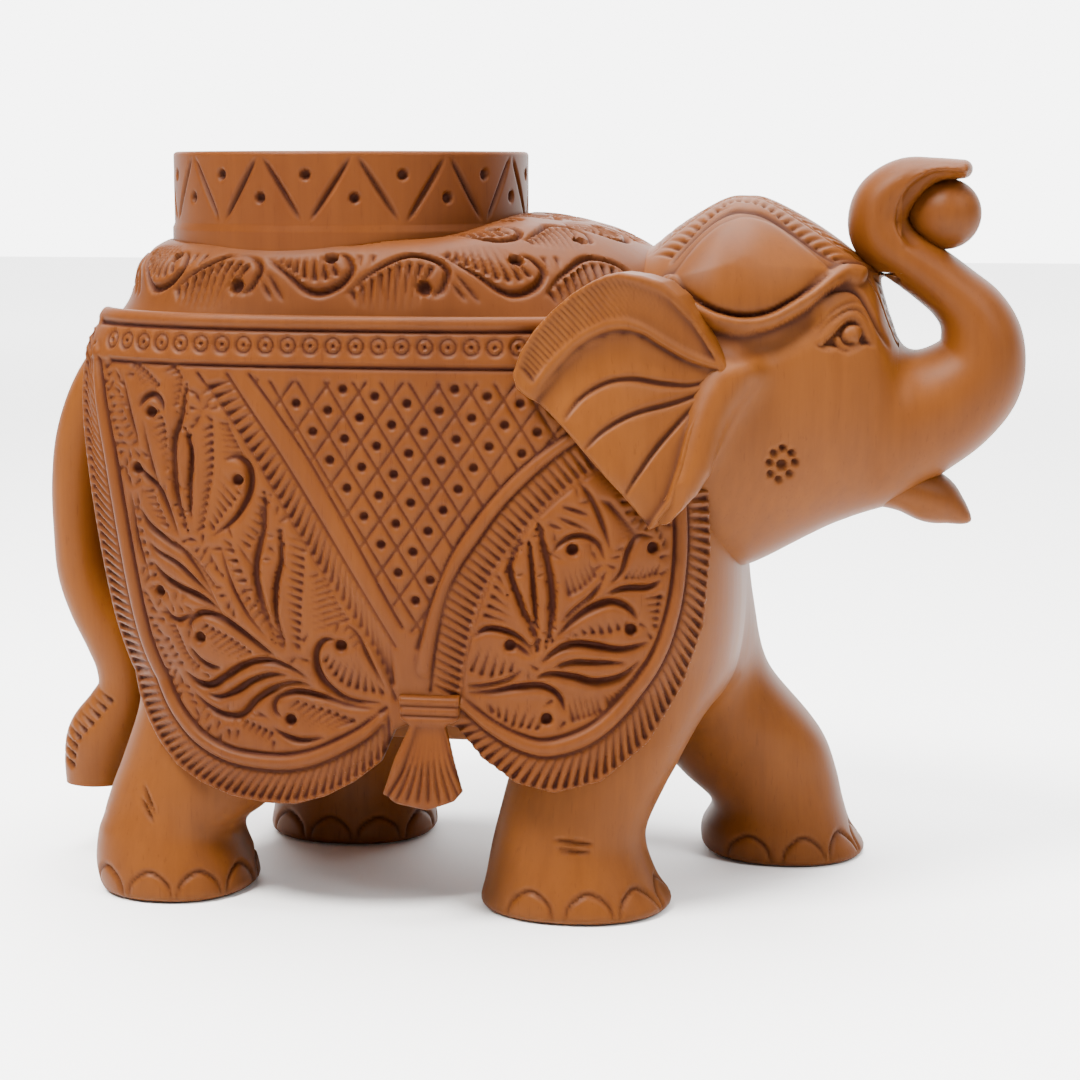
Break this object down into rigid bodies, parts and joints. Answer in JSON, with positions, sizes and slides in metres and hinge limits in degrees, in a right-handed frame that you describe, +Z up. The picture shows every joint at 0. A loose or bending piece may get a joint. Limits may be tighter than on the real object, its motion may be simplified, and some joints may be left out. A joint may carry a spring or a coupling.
{
  "type": "elephant figurine pen stand",
  "caption": "Carved wooden elephant with a raised trunk, a saddle cloth on each side and a round open pen cup in its back.",
  "frame": {"origin": "on the floor, under the middle of the figure's bounding box", "axes": "+Z up, +X towards the elephant's head, -Y towards its right side"},
  "size_m": [0.1524, 0.0748, 0.112],
  "materials": {
    "carved_wood": "satin",
    "smooth_wood": "satin",
    "collar_wood": "satin"
  },
  "bodies": {
    "root": {"torso": "carved_wood", "collar": "collar_wood", "saddle_cloth_right": "carved_wood", "saddle_cloth_left": "carved_wood", "tassel_right": "carved_wood", "tassel_left": "carved_wood", "head": "smooth_wood", "trunk": "smooth_wood", "trunk_ball": "smooth_wood", "lower_lip": "smooth_wood", "ear_right": "smooth_wood", "ear_left": "smooth_wood", "leg_front_right": "smooth_wood", "leg_front_left": "smooth_wood", "leg_hind_right": "smooth_wood", "leg_hind_left": "smooth_wood", "tail": "smooth_wood"}
  },
  "joints": []
}
